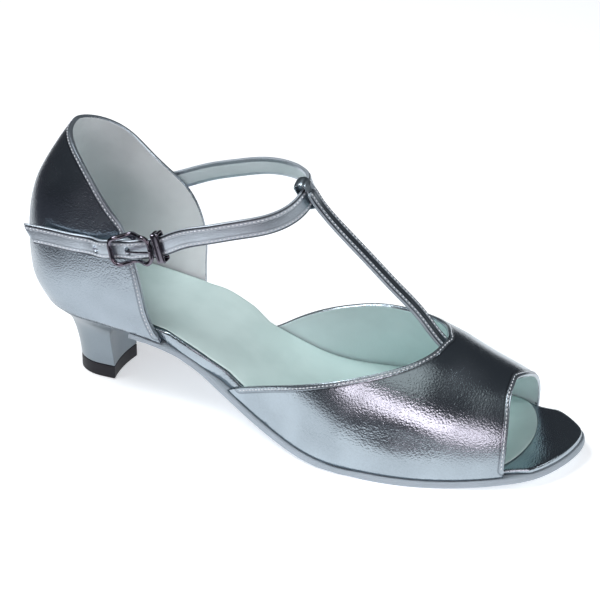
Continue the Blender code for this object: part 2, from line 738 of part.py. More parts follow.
def make_t_bar(material, count=26):
    front = min(range(200), key=lambda i: -strap_path.point(strap_path.length * i / 200).x)
    centre, along, out, up = strap_frame(strap_path.length * front / 200)
    room_n = STRAP_THICK / 2 + 3 * GAP
    room_w = STRAP_WIDTH / 2 + 2 * GAP + LOOP_ROOM / 2
    inner = rounded_box(room_n, room_w, room_n * LOOP_ROUND)
    outer = rounded_box(room_n + LOOP_WALL, room_w + LOOP_WALL, room_n * LOOP_ROUND + LOOP_WALL)
    half = LOOP_WIDTH / 2
    rings = []
    for shape, reach in tube_profile(inner, outer, -half, half):
        middle = centre + up * LOOP_ROOM / 2 + along * reach
        rings.append([middle + out * n + up * w for n, w in shape])
    made = add_object("t_bar", loft(rings, wrapped=True), material, math.radians(50))

    seat = room_n + LOOP_WALL * 0.3 + T_BAR_THICK / 2
    begin = centre + out * seat + along * T_BAR_ASIDE
    start = [begin + up * w for w in (STRAP_WIDTH * 0.35, 0.0, -STRAP_WIDTH * 0.45)]
    throat = LENGTH * throat_edge[-1](1.0)
    under = VAMP_WALL + 4 * GAP + T_BAR_THICK / 2
    tail = []
    for ahead in (0.0, T_BAR_TAIL / 2, T_BAR_TAIL):
        x = throat + ahead
        rise = vamp_height(x + GAP, T_BAR_SHIFT) - vamp_height(x - GAP, T_BAR_SHIFT)
        slope = math.atan(rise / (2 * GAP))
        tail.append(Vector((x, T_BAR_SHIFT, vamp_height(x, T_BAR_SHIFT) - under / math.cos(slope))))
    middle = []
    for row in T_BAR_BOW:
        rise = T_BAR_THICK * row.bow
        middle.append(start[-1].lerp(tail[0], row.share) + Vector((rise, 0.0, rise)))
    path = SmoothPath(start + middle + tail)
    rings = []
    for i in range(count + 1):
        distance = path.length * i / count
        run = path.direction(distance)
        side = (Vector((0.0, 1.0, 0.0)) - run * run.y).normalized()
        flare = min(i / count / T_BAR_FLARE, 1.0)
        width = T_BAR_NECK + (T_BAR_WIDTH - T_BAR_NECK) * flare * flare * (3 - 2 * flare)
        rings.append(strap_section(path.point(distance), run.cross(side), side, width, T_BAR_THICK))
    fuse(made, "t_bar_strip", loft(rings))
    return made


# Buckle
def frame_bow():
    end = FRAME_LENGTH / 2
    return strap_lift(end) + STRAP_THICK / 2 + GAP + FRAME_WIRE


def make_buckle_frame(material, sides=8):
    half_s, half_w = FRAME_LENGTH / 2, FRAME_HEIGHT / 2
    outline = rounded_box(half_s, half_w, FRAME_CORNER, 4)
    path = []
    for i, (s, w) in enumerate(outline):
        after = outline[(i + 1) % len(outline)]
        path.append((s, w))
        reach = math.hypot(after[0] - s, after[1] - w)
        if reach > FRAME_CORNER:
            for t in (0.25, 0.5, 0.75):
                path.append((s + (after[0] - s) * t, w + (after[1] - w) * t))
    rings = []
    for i, (s, w) in enumerate(path):
        before, after = path[i - 1], path[(i + 1) % len(path)]
        run = Vector((after[0] - before[0], after[1] - before[1]))
        aside = Vector((run.y, -run.x)).normalized()
        share = min(abs(s) / (half_s - FRAME_CORNER), 1.0)
        lift = frame_bow() * share * share * (3 - 2 * share)
        ring = []
        for k in range(sides):
            a = 2 * math.pi * (k + 0.5) / sides
            offset = aside * FRAME_WIRE * math.cos(a)
            ring.append(at_buckle(s + offset.x, lift + FRAME_WIRE * math.sin(a), w + offset.y))
        rings.append(ring)
    made = add_object("buckle_frame", loft(rings, wrapped=True), material, math.radians(60))
    turns = [2 * math.pi * k / 10 for k in range(10)]
    bar = []
    for w in (-half_w, half_w):
        bar.append([at_buckle(BAR_WIRE * math.cos(a), BAR_WIRE * math.sin(a), w) for a in turns])
    fuse(made, "bar", loft(bar))
    return made


PRONG_REACH = BAR_WIRE + GAP + PRONG_WIRE


def make_buckle_prong(material, sides=8):
    top = strap_lift(0.0) + STRAP_THICK / 2 + GAP + PRONG_WIRE
    tip = frame_bow() + FRAME_WIRE + GAP + PRONG_WIRE
    places = []
    for degrees in (400, 350, 300, 250, 210, 180):
        a = math.radians(degrees)
        places.append(Vector((PRONG_REACH * math.cos(a), PRONG_REACH * math.sin(a), 0.0)))
    places.append(Vector((-PRONG_REACH, top * 0.55, 0.0)))
    places.append(Vector((-PRONG_REACH * 0.85, top * 0.88, 0.0)))
    places.append(Vector((PRONG_REACH * 0.6, top * 1.06, 0.0)))
    places.append(Vector((FRAME_LENGTH / 2 + FRAME_WIRE, max(tip, top), 0.0)))
    path = SmoothPath(places)
    count = 30
    rings = []
    for i in range(count + 1):
        distance = path.length * i / count
        centre = path.point(distance)
        run = path.direction(distance)
        normal = Vector((-run.y, run.x, 0.0))
        ring = []
        for k in range(sides):
            a = 2 * math.pi * k / sides
            p = centre + normal * PRONG_WIRE * math.cos(a)
            ring.append(at_buckle(p.x, p.y, PRONG_WIRE * math.sin(a)))
        rings.append(ring)
    return add_object("buckle_prong", loft(rings), material, math.radians(60))


def make_buckle_tab(material):
    outside = BAR_WIRE + GAP + TAB_THICK
    high = tab_seat - TAB_THICK / 2
    low = high - TAB_THICK
    start = math.pi - math.asin(high / outside)
    finish = -math.pi + math.asin(-low / outside)
    arc = [start + (finish - start) * i / 14 for i in range(15)]
    outline = [(-TAB_LENGTH, high)] + [(outside * math.cos(a), outside * math.sin(a)) for a in arc]
    outline.append((-TAB_LENGTH, low))
    rings = [[at_buckle(s, n, w) for s, n in outline] for w in (-TAB_WIDTH / 2, TAB_WIDTH / 2)]
    made = add_object("buckle_tab", loft(rings), material)
    turns = [2 * math.pi * k / 12 for k in range(12)]
    room = BAR_WIRE + GAP
    bore = []
    for w in (-TAB_WIDTH, TAB_WIDTH):
        bore.append([at_buckle(room * math.cos(a), room * math.sin(a), w) for a in turns])
    cut(made, "bar_bore", loft(bore))
    reach = PRONG_REACH + PRONG_WIRE + 2 * GAP
    slot = PRONG_WIRE + 2 * GAP
    corners = ((-reach, -reach), (reach, -reach), (reach, reach), (-reach, reach))
    box = [[at_buckle(s, n, w) for s, n in corners] for w in (-slot, slot)]
    cut(made, "prong_slot", loft(box))
    return made


def make_strap_keeper(material):
    start = FRAME_LENGTH / 2 + FRAME_WIRE + KEEPER_SET + KEEPER_LENGTH / 2
    seat = nearest_on_strap(at_buckle(start, strap_lift(start), 0.0))
    centre, run, out, rise = strap_frame(seat)
    along = (run - upward * run.dot(upward) * KEEPER_UPRIGHT).normalized()
    up = (rise - along * rise.dot(along)).normalized()
    out = up.cross(along)
    room_n = STRAP_THICK / 2 + 2 * GAP
    room_w = STRAP_WIDTH / 2 + 2 * GAP + KEEPER_ROOM
    steps = ((0.0, 0.0), (0.2, 1.0), (0.4, 0.0), (0.6, 0.0), (0.8, 1.0), (1.0, 0.0))
    profiles = []
    for share, rib in steps:
        wall = KEEPER_WALL + KEEPER_RIB * rib
        profiles.append((share, rounded_box(room_n + wall, room_w + wall, wall)))
    for share in (1.0, 0.0):
        profiles.append((share, rounded_box(room_n, room_w, GAP)))
    rings = []
    for share, shape in profiles:
        reach = along * KEEPER_LENGTH * (share - 0.5)
        rings.append([centre + out * n + up * w + reach for n, w in shape])
    return add_object("strap_keeper", loft(rings, wrapped=True), material, math.radians(50))


def build_shoe():
    for item in list(bpy.data.objects):
        bpy.data.objects.remove(item, do_unlink=True)
    silver = finish_material("silver_leather", (0.50, 0.51, 0.55), 0.32, 0.85)
    strap_silver = finish_material("strap_leather", (0.52, 0.53, 0.58), 0.38, 0.75)
    edge_silver = finish_material("edge_leather", (0.60, 0.62, 0.66), 0.45, 0.60)
    pale = finish_material("sock_leather", (0.38, 0.47, 0.44), 0.75, 0.0)
    suede = finish_material("sole_suede", (0.44, 0.46, 0.49), 0.85, 0.0)
    black = finish_material("tip_rubber", (0.015, 0.015, 0.018), 0.55, 0.0)
    chrome = finish_material("dark_chrome", (0.20, 0.19, 0.22), 0.18, 1.0)
    make_outsole(suede)
    make_insole(edge_silver)
    make_sock_lining(pale)
    make_counter(silver)
    make_vamp(silver)
    make_heel(silver)
    make_heel_tip(black)
    make_t_bar(strap_silver)
    make_ankle_strap(strap_silver)
    make_buckle_tab(strap_silver)
    make_buckle_frame(chrome)
    make_buckle_prong(chrome)
    make_strap_keeper(chrome)


build_shoe()
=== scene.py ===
# Silver peep-toe T-bar dance shoe: finishes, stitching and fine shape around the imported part.
import math

import bmesh
import bpy
from mathutils import Matrix, Vector
from mathutils.bvhtree import BVHTree
from mathutils.kdtree import KDTree


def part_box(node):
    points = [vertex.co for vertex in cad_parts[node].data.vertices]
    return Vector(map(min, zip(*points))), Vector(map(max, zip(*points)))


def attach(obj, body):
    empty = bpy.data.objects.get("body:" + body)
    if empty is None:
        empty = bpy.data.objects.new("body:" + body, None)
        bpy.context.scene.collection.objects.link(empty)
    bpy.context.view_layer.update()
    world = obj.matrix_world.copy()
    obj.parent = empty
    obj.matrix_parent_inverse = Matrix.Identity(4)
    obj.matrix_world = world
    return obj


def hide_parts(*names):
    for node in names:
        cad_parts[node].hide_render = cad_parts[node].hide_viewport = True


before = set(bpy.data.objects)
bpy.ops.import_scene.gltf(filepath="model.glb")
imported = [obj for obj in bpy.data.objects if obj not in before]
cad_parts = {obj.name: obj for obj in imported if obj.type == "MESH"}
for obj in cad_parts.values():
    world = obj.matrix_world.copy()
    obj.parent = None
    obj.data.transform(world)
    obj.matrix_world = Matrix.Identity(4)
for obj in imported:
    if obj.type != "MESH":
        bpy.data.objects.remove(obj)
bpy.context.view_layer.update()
nodeBoxes = [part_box(node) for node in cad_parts]
shoeLow = Vector([min(box[0][axis] for box in nodeBoxes) for axis in range(3)])
shoeSpan = Vector([max(box[1][axis] for box in nodeBoxes) for axis in range(3)]) - shoeLow
print("frame loaded")


class Wire:
    # A socket that can stand in a sum.

    def __init__(self, paint, socket):
        self.paint = paint
        self.socket = socket

    def sums(self, operation, other, turned=False):
        pair = (other, self) if turned else (self, other)
        return self.paint.add("ShaderNodeMath", {"operation": operation}, dict(enumerate(pair)))

    def __add__(self, other):
        return self.sums("ADD", other)

    def __radd__(self, other):
        return self.sums("ADD", other)

    def __sub__(self, other):
        return self.sums("SUBTRACT", other)

    def __rsub__(self, other):
        return self.sums("SUBTRACT", other, True)

    def __mul__(self, other):
        return self.sums("MULTIPLY", other)

    def __rmul__(self, other):
        return self.sums("MULTIPLY", other)


class Paint:
    # One material and the nodes that feed it.

    def __init__(self, name, **flat):
        self.material = bpy.data.materials.new(name)
        self.material.use_nodes = True
        self.tree = self.material.node_tree
        self.shader = self.tree.nodes["Principled BSDF"]
        self.feed(**flat)

    def join(self, value, socket):
        if isinstance(value, Wire):
            self.tree.links.new(value.socket, socket)
        else:
            socket.default_value = value

    def add(self, kind, settings=None, sockets=None, output=0):
        node = self.tree.nodes.new(kind)
        for key, value in (settings or {}).items():
            setattr(node, key, value)
        for key, value in (sockets or {}).items():
            self.join(value, node.inputs[key])
        return Wire(self, node.outputs[output])

    def feed(self, **sockets):
        for key, value in sockets.items():
            self.join(value, self.shader.inputs[key.replace("_", " ")])

    def place(self):
        return self.add("ShaderNodeTexCoord", output="Object")

    def reading(self, name):
        return self.add("ShaderNodeAttribute", {"attribute_name": name}, output="Fac")

    def noise(self, size, detail):
        sockets = {"Vector": self.place(), "Scale": 1 / size, "Detail": detail}
        return self.add("ShaderNodeTexNoise", {}, sockets)

    def cells(self, size):
        return self.add("ShaderNodeTexVoronoi", {}, {"Vector": self.place(), "Scale": 1 / size})

    def ease(self, value, low, high):
        sockets = {0: value, 1: low, 2: high, 3: 0.0, 4: 1.0}
        return self.add("ShaderNodeMapRange", {"interpolation_type": "SMOOTHSTEP"}, sockets)

    def mix(self, share, first, second):
        return self.add("ShaderNodeMix", {"data_type": "RGBA"}, {0: share, 6: first, 7: second}, 2)

    def bump(self, height):
        # Height is in metres.
        sockets = {"Strength": 1.0, "Distance": 1.0, "Height": height}
        self.feed(Normal=self.add("ShaderNodeBump", {}, sockets))


def shade(red, green, blue):
    return (red, green, blue, 1.0)


# Silver leather: edge bands follow the distance to a finished edge, which each piece carries; the dark lines
# at the turned edge and beside the stitches are painted shade
silverLook = {
    "light": shade(0.42, 0.485, 0.535),
    "deep": shade(0.24, 0.28, 0.315),
    "rough": 0.17,
    "grain": 0.00075,          # size of the fine crackle
    "grainDepth": 0.000095,
    "blister": 0.0016,         # size of the coarser sparkle
    "blisterDepth": 0.000020,
    "patch": 0.018,            # size of the faint light and dark patches
    "fold": 0.0021,            # width of the folded edge
    "foldSoft": 0.15,          # share of that width over which its step rises, to each side
    "foldDepth": 0.00010,
    "rimDark": 0.00045,        # width of the painted shade line where the edge turns over
    "trim": 0.2,               # how far the folded edge looks like matt paint
    "seamDark": 0.6,           # depth of the painted shade line beside the stitches
    "seamEnd": 1.45,           # where that line ends, as a share of the folded edge's width
    "seamShadeColour": shade(0.09, 0.10, 0.12),
    "rimShadeColour": shade(0.05, 0.055, 0.07),
    "threadBed": (0.55, 0.72, 0.78, 0.95),     # trough under the stitches, as shares of that width
}


def silverLeather(name, **changes):
    look = {**silverLook, **changes}
    paint = Paint(name)
    grain = paint.noise(look["grain"], 1.5)
    blister = paint.noise(look["blister"], 1.0)
    patches = paint.ease(paint.noise(look["patch"], 1.0), 0.35, 0.65)
    edge = paint.reading("edgeDistance")
    foldStart, foldEnd = (look["fold"] * (1 + side * look["foldSoft"]) for side in (-1, 1))
    offFold = paint.ease(edge, foldStart, foldEnd)
    rim = paint.ease(edge, look["rimDark"] * 0.4, look["rimDark"])
    colour = paint.mix(0.35 * grain + 0.25 * patches, look["light"], look["deep"])
    seam = offFold * (1 - paint.ease(edge, foldEnd, look["fold"] * look["seamEnd"]))
    # painted shade: a dark line just past the folded edge, beside the stitches, where the leather steps down
    colour = paint.mix(seam * look["seamDark"], colour, look["seamShadeColour"])
    # painted shade: a dark line where the edge turns over
    colour = paint.mix(rim, look["rimShadeColour"], colour)
    trim = rim * (1 - offFold) * look["trim"]
    paint.feed(Base_Color=colour, Metallic=1 - 0.75 * trim)
    paint.feed(Roughness=look["rough"] + 0.08 * patches + 0.2 * (1 - rim) + 0.15 * trim)
    bed = [look["fold"] * share for share in look["threadBed"]]
    trough = paint.ease(edge, bed[0], bed[1]) * (1 - paint.ease(edge, bed[2], bed[3]))
    height = grain * look["grainDepth"] + blister * look["blisterDepth"]
    height = height - offFold * look["foldDepth"] - trough * (look["foldDepth"] * 0.6)
    paint.bump(height)
    return paint.material


liningLook = {
    "pore": 0.0009,
    "poreDepth": 0.000025,
    "crease": 0.012,
    "creaseDepth": 0.00012,
    "blotch": 0.022,           # size of the light and dark patches
    "groove": (0.0010, 0.0013, 0.0015, 0.0018),    # pressed line beside an edge, by distance to it, also darkened as painted shade
    "grooveDepth": 0.00006,
    "rough": 0.62,
}


def lining(name, light, deep):
    paint = Paint(name, Metallic=0.0, Specular_IOR_Level=0.35)
    pores = paint.cells(liningLook["pore"])
    waves = paint.noise(liningLook["crease"], 1.0)
    blotch = paint.ease(paint.noise(liningLook["blotch"], 3.0), 0.3, 0.7)
    edge = paint.reading("edgeDistance")
    near, full, fade, far = liningLook["groove"]
    groove = paint.ease(edge, near, full) * (1 - paint.ease(edge, fade, far))
    colour = paint.mix(blotch, light, deep)
    # painted shade: the pressed line is darkened toward the deep tone
    colour = paint.mix(groove * 0.35, colour, deep)
    paint.feed(Base_Color=colour, Roughness=liningLook["rough"] - 0.12 * pores)
    height = pores * liningLook["poreDepth"] + waves * liningLook["creaseDepth"]
    paint.bump(height - groove * liningLook["grooveDepth"])
    return paint.material


suedeLook = {
    "deep": shade(0.33, 0.39, 0.43),
    "light": shade(0.41, 0.47, 0.53),
    "rough": 0.78,
    "nap": 0.0005,             # size of the fine nap
    "napDepth": 0.00006,
    "blotch": 0.009,           # size of the light and dark patches
    "blotchDepth": 0.00008,
}


def suedeSole(name):
    paint = Paint(name, Metallic=0.0)
    nap = paint.noise(suedeLook["nap"], 4.0)
    blotch = paint.noise(suedeLook["blotch"], 2.0)
    colour = paint.mix(blotch, suedeLook["deep"], suedeLook["light"])
    paint.feed(Base_Color=colour, Roughness=suedeLook["rough"] + 0.15 * nap)
    paint.bump(nap * suedeLook["napDepth"] + blotch * suedeLook["blotchDepth"])
    return paint.material


rubberLook = {
    "deep": shade(0.003, 0.003, 0.006),
    "light": shade(0.012, 0.012, 0.018),
    "rough": 0.42,
    "grain": 0.0007,
    "grainDepth": 0.00002,
}


def blackRubber(name):
    paint = Paint(name, Metallic=0.0, Specular_IOR_Level=0.3)
    grain = paint.noise(rubberLook["grain"], 3.0)
    paint.feed(Base_Color=paint.mix(grain, rubberLook["deep"], rubberLook["light"]))
    paint.feed(Roughness=rubberLook["rough"] + 0.2 * grain)
    paint.bump(grain * rubberLook["grainDepth"])
    return paint.material


chromeLook = {
    "deep": shade(0.10, 0.095, 0.115),
    "light": shade(0.22, 0.20, 0.24),
    "rough": 0.10,
    "haze": 0.0025,            # size of the duller spots
    "hazeDepth": 0.00002,
}


def darkChrome(name):
    paint = Paint(name, Metallic=1.0)
    haze = paint.noise(chromeLook["haze"], 2.0)
    paint.feed(Base_Color=paint.mix(haze, chromeLook["deep"], chromeLook["light"]))
    paint.feed(Roughness=chromeLook["rough"] + 0.10 * haze)
    paint.bump(haze * chromeLook["hazeDepth"])
    return paint.material


threadLook = {
    "deep": shade(0.64, 0.68, 0.72),
    "light": shade(0.95, 0.97, 1.0),
    "rough": 0.35,
    "twist": 0.0004,
}


def threadFinish(name):
    paint = Paint(name, Metallic=0.0)
    twist = paint.noise(threadLook["twist"], 1.0)
    paint.feed(Base_Color=paint.mix(twist, threadLook["deep"], threadLook["light"]))
    paint.feed(Roughness=threadLook["rough"] + 0.1 * twist)
    return paint.material


finishes = {
    "vampSilver": silverLeather("vampSilver"),
    # painted shade: the counter's silver leather is a darker copy of the vamp's
    "counterSilverShaded": silverLeather("counterSilverShaded", light=shade(0.36, 0.41, 0.46), rough=0.20,
                                   grainDepth=0.00014, trim=0.35),
    # painted shade: the heel cover's silver leather is a much darker copy of the vamp's
    "heelSilverShaded": silverLeather("heelSilverShaded", light=shade(0.24, 0.28, 0.31), deep=shade(0.18, 0.21, 0.24),
                                rough=0.30, grainDepth=0.00002, blisterDepth=0.00001),
    # painted light: the straps' and buckle tab's silver leather is a lighter copy of the vamp's
    "strapSilverLit": silverLeather("strapSilverLit", light=shade(0.68, 0.75, 0.82),
                                 deep=shade(0.40, 0.45, 0.50), rough=0.32, fold=0.0017,
                                 foldDepth=0.00005, trim=0.5, seamDark=0.25, rimDark=0.0007),
    "barSilver": silverLeather("barSilver", rough=0.27, trim=0.9, rimDark=0.0006, grainDepth=0.00004),
    "boardSilver": silverLeather("boardSilver"),
    "vampLining": lining("vampLining", shade(0.80, 0.93, 0.93), shade(0.72, 0.85, 0.85)),
    "counterLining": lining("counterLining", shade(0.82, 0.86, 0.87), shade(0.72, 0.76, 0.77)),
    "strapLining": lining("strapLining", shade(0.64, 0.74, 0.76), shade(0.56, 0.66, 0.68)),
    "sock": lining("sock", shade(0.67, 0.82, 0.80), shade(0.58, 0.73, 0.71)),
    "suede": suedeSole("suede"),
    "rubber": blackRubber("rubber"),
    "chrome": darkChrome("chrome"),
    "thread": threadFinish("thread"),
}
print("finishes ready")


meshLook = {
    "sameSpot": 1e-6,              # vertices this close are one
    "flat": math.radians(28),      # least bend that stays between two triangles
    "sharp": math.radians(45),     # least bend of an edge that is rounded or kept crisp
    "crisp": 0.85,                 # crease of the crisp ones
}


def mergedCopy(node):
    # A worked copy of a solid, with its triangles joined.
    mesh = bmesh.new()
    mesh.from_mesh(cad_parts[node].data)
    mesh.edges.layers.float.new("crease_edge")
    bmesh.ops.remove_doubles(mesh, verts=mesh.verts, dist=meshLook["sameSpot"])
    bmesh.ops.join_triangles(mesh, faces=mesh.faces, angle_face_threshold=meshLook["flat"],
                             angle_shape_threshold=math.pi)
    mesh.faces.ensure_lookup_table()
    mesh.faces.index_update()
    mesh.verts.index_update()
    return mesh


def smoothRegions(mesh, angle):
    # Groups of faces that no sharp edge parts, the largest first.
    regions = []
    seen = set()
    for seed in mesh.faces:
        if seed.index in seen:
            continue
        seen.add(seed.index)
        region = [seed]
        for face in region:
            for edge in face.edges:
                if edge.calc_face_angle(math.pi) > angle:
                    continue
                for other in edge.link_faces:
                    if other.index not in seen:
                        seen.add(other.index)
                        region.append(other)
        regions.append(region)
    regions.sort(key=lambda region: -sum(face.calc_area() for face in region))
    return regions


def outlines(region):
    # Closed rims of a region as rows of places, with the region on the left, the longest first.
    inside = {face.index for face in region}
    follow = {}
    for face in region:
        for loop in face.loops:
            if all(other.index in inside for other in loop.edge.link_faces):
                continue
            after = loop.link_loop_next.vert.index
            follow[loop.vert.index] = (loop.vert.co.copy(), face.normal.copy(), after)
    rims = []
    while follow:
        start = min(follow)
        rim = []
        step = start
        while step in follow:
            place, normal, after = follow.pop(step)
            rim.append((place, normal))
            step = after
        rims.append(rim)
    rims.sort(key=lambda rim: -sum((a[0] - b[0]).length for a, b in zip(rim, rim[1:])))
    return rims


def runOf(rim, keep):
    # The longest stretch of a closed rim whose places are kept.
    count = len(rim)
    flags = [keep(place) for place, normal in rim]
    if all(flags):
        return rim + [rim[0]]
    best = []
    for first in range(count):
        if flags[first] and not flags[first - 1]:
            run = []
            step = first
            while flags[step % count]:
                run.append(rim[step % count])
                step += 1
            if len(run) > len(best):
                best = run
    return best


curveSteps = 8                 # steps between two places of a run


def evenRow(run, pitch):
    # Places, directions and normals at even steps along a smooth curve through a run.
    places = [place for place, normal in run]
    fine = []
    for i in range(len(places) - 1):
        before = places[max(i - 1, 0)]
        after = places[min(i + 2, len(places) - 1)]
        first, last = places[i], places[i + 1]
        for k in range(curveSteps):
            t = k / curveSteps
            rise = (last - before) * 0.5
            fall = (after - first) * 0.5
            point = (first * (2 * t ** 3 - 3 * t ** 2 + 1) + rise * (t ** 3 - 2 * t ** 2 + t)
                     + last * (3 * t ** 2 - 2 * t ** 3) + fall * (t ** 3 - t ** 2))
            fine.append((point, run[i][1].lerp(run[i + 1][1], t)))
    fine.append(run[-1])
    row = []
    walked = 0.0
    goal = pitch / 2
    for (a, na), (b, nb) in zip(fine, fine[1:]):
        reach = (b - a).length
        while reach > 0 and goal <= walked + reach:
            t = (goal - walked) / reach
            row.append((a.lerp(b, t), (b - a).normalized(), na.lerp(nb, t).normalized()))
            goal += pitch
        walked += reach
    return row


def settle(name, mesh, material, levels):
    # Smooths a worked mesh into a finished piece.
    rough = bpy.data.meshes.new(name)
    mesh.to_mesh(rough)
    mesh.free()
    piece = bpy.data.objects.new(name, rough)
    bpy.context.collection.objects.link(piece)
    for item in material:
        rough.materials.append(finishes[item])
    smooth = piece.modifiers.new("smooth", "SUBSURF")
    smooth.levels = levels
    smooth.render_levels = levels
    graph = bpy.context.evaluated_depsgraph_get()
    piece.data = bpy.data.meshes.new_from_object(piece.evaluated_get(graph))
    piece.modifiers.clear()
    piece.data.shade_smooth()
    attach(piece, "root")
    return piece


foldShape = {
    "steps": 40,               # places along a fold
    "reach": 3.0,              # how far a fold reaches, in its widths
    "end": 0.02,               # share of its length at which it stops fading
    "swell": 0.6,              # how fast it grows from its ends, less is faster
}


def foldSkin(piece, folds):
    # Soft troughs and ridges: each follows an arc between two places given as shares of the shoe's box.
    for fold in folds:
        first, last = (shoeLow + shoeSpan * Vector(fold[key]) for key in ("start", "end"))
        bow = shoeSpan * Vector(fold.get("bow", (0.0, 0.0, 0.0)))
        push = Vector(fold["push"]).normalized() * fold["depth"]
        steps = foldShape["steps"]
        tree = KDTree(steps + 1)
        for i in range(steps + 1):
            t = i / steps
            tree.insert(first.lerp(last, t) + bow * 4 * t * (1 - t), i)
        tree.balance()
        for vert in piece.data.vertices:
            place, step, reach = tree.find(vert.co)
            if reach < fold["width"] * foldShape["reach"]:
                share = min(max(step / steps, foldShape["end"]), 1 - foldShape["end"])
                fade = math.sin(math.pi * share) ** foldShape["swell"]
                vert.co += push * fade * math.exp(-(reach / fold["width"]) ** 2)
    piece.data.update()


edgeMark = {"pitch": 0.0003, "none": 0.02}     # steps along an edge, and the value far from any


def markEdges(piece, rows):
    # Each vertex keeps its distance to the nearest finished edge.
    spots = [place for row in rows for place, along, normal in evenRow(row, edgeMark["pitch"])]
    tree = KDTree(len(spots))
    for i, spot in enumerate(spots):
        tree.insert(spot, i)
    tree.balance()
    values = [tree.find(vert.co)[2] for vert in piece.data.vertices]
    layer = piece.data.attributes.new("edgeDistance", "FLOAT", "POINT")
    layer.data.foreach_set("value", values)


stitchLook = {
    "long": 0.00060,           # half the length, width and height of one thread
    "wide": 0.00025,
    "high": 0.00022,
    "pitch": 0.00170,
    "proud": 0.35,             # share of the height by which a thread's middle stands out
    "above": 0.0004,           # height from which the leather's skin is searched
    "sameSide": 0.3,           # least agreement of the two normals
}


def skinOf(item):
    data = item.data
    return BVHTree.FromPolygons([vert.co for vert in data.vertices],
                                [tuple(face.vertices) for face in data.polygons])


def stitchRow(mesh, piece, run, inset):
    # Sinks a row of short threads into a piece, beside an edge.
    skin = skinOf(piece)
    stretch = Matrix.Diagonal((stitchLook["long"], stitchLook["wide"], stitchLook["high"], 1.0))
    for place, along, normal in evenRow(run, stitchLook["pitch"]):
        aside = normal.cross(along).normalized()
        spot, up, face, far = skin.find_nearest(place + aside * inset + normal * stitchLook["above"])
        if spot is None or up.dot(normal) < stitchLook["sameSide"]:
            continue
        along = (along - up * along.dot(up)).normalized()
        turn = Matrix((along, up.cross(along), up)).transposed().to_4x4()
        middle = spot + up * stitchLook["high"] * stitchLook["proud"]
        where = Matrix.Translation(middle) @ turn @ stretch
        bmesh.ops.create_uvsphere(mesh, u_segments=6, v_segments=4, radius=1.0, matrix=where)


def threadPiece(name, mesh):
    data = bpy.data.meshes.new(name)
    mesh.to_mesh(data)
    mesh.free()
    data.materials.append(finishes["thread"])
    data.shade_smooth()
    piece = bpy.data.objects.new(name, data)
    bpy.context.collection.objects.link(piece)
    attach(piece, "root")


def softenEdges(mesh, width, rounded):
    # Rounds some of the sharp edges and keeps the others crisp under the smoothing.
    hold = mesh.edges.layers.float["crease_edge"]
    soft = []
    for edge in mesh.edges:
        if edge.calc_face_angle(0.0) > meshLook["sharp"]:
            if rounded(edge):
                soft.append(edge)
            else:
                edge[hold] = meshLook["crisp"]
    if soft:
        bmesh.ops.bevel(mesh, geom=soft, offset=width, segments=2, profile=0.5, affect="EDGES",
                        material=-1, clamp_overlap=True)


soleSkins = [skinOf(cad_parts[node]) for node in ("outsole", "heel")]
soleReach = 0.0022             # leather this near to the sole or the heel has no finished edge


def offSole(place):
    return min(skin.find_nearest(place)[3] for skin in soleSkins) > soleReach


def edgeOffSole(edge):
    return offSole((edge.verts[0].co + edge.verts[1].co) / 2)


# Vamp: outer wall, lining, topline and toe stitching, and where the T-bar's end shows through
vampLook = {
    "wallAngle": math.radians(38),
    "round": 0.0004,
    "levels": 2,
    "inset": 0.0013,
    "split": 0.83,             # share of the shoe's length between the topline and the toe edge
    "folds": (
        {"start": (0.745, 0.46, 0.395), "end": (0.822, 0.42, 0.30), "push": (0.3, -0.3, 1.0),
         "depth": 0.00060, "width": 0.0011},
        {"start": (0.752, 0.35, 0.375), "end": (0.812, 0.31, 0.29), "push": (0.3, -0.3, 1.0),
         "depth": 0.00055, "width": 0.0011},
        {"start": (0.50, 0.06, 0.17), "end": (0.62, 0.01, 0.11), "bow": (0.0, 0.0, 0.02),
         "push": (0.2, 1.0, -0.5), "depth": 0.0007, "width": 0.0060},
        {"start": (0.66, 0.03, 0.16), "end": (0.80, 0.08, 0.13), "bow": (0.0, -0.01, 0.03),
         "push": (0.2, 1.0, -0.6), "depth": 0.0005, "width": 0.0055},
        {"start": (0.60, 0.93, 0.22), "end": (0.75, 0.91, 0.15), "bow": (0.0, 0.0, 0.02),
         "push": (0.1, -1.0, -0.5), "depth": 0.0006, "width": 0.0060},
    ),
}


def dressVamp():
    mesh = mergedCopy("vamp")
    outer, inner = smoothRegions(mesh, vampLook["wallAngle"])[:2]
    if sum(face.normal.z * face.calc_area() for face in outer) < 0:
        outer, inner = inner, outer
    for face in inner:
        face.material_index = 1
    rim = outlines(outer)[0]
    middle = shoeLow.x + shoeSpan.x * vampLook["split"]
    topline = runOf(rim, lambda place: offSole(place) and place.x < middle)
    toeline = runOf(rim, lambda place: offSole(place) and place.x > middle)
    softenEdges(mesh, vampLook["round"], edgeOffSole)
    piece = settle("vampLeather", mesh, ("vampSilver", "vampLining"), vampLook["levels"])
    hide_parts("vamp")
    markEdges(piece, [topline, toeline])
    foldSkin(piece, vampLook["folds"])
    thread = bmesh.new()
    stitchRow(thread, piece, topline, vampLook["inset"])
    stitchRow(thread, piece, toeline, vampLook["inset"])
    threadPiece("vampStitches", thread)


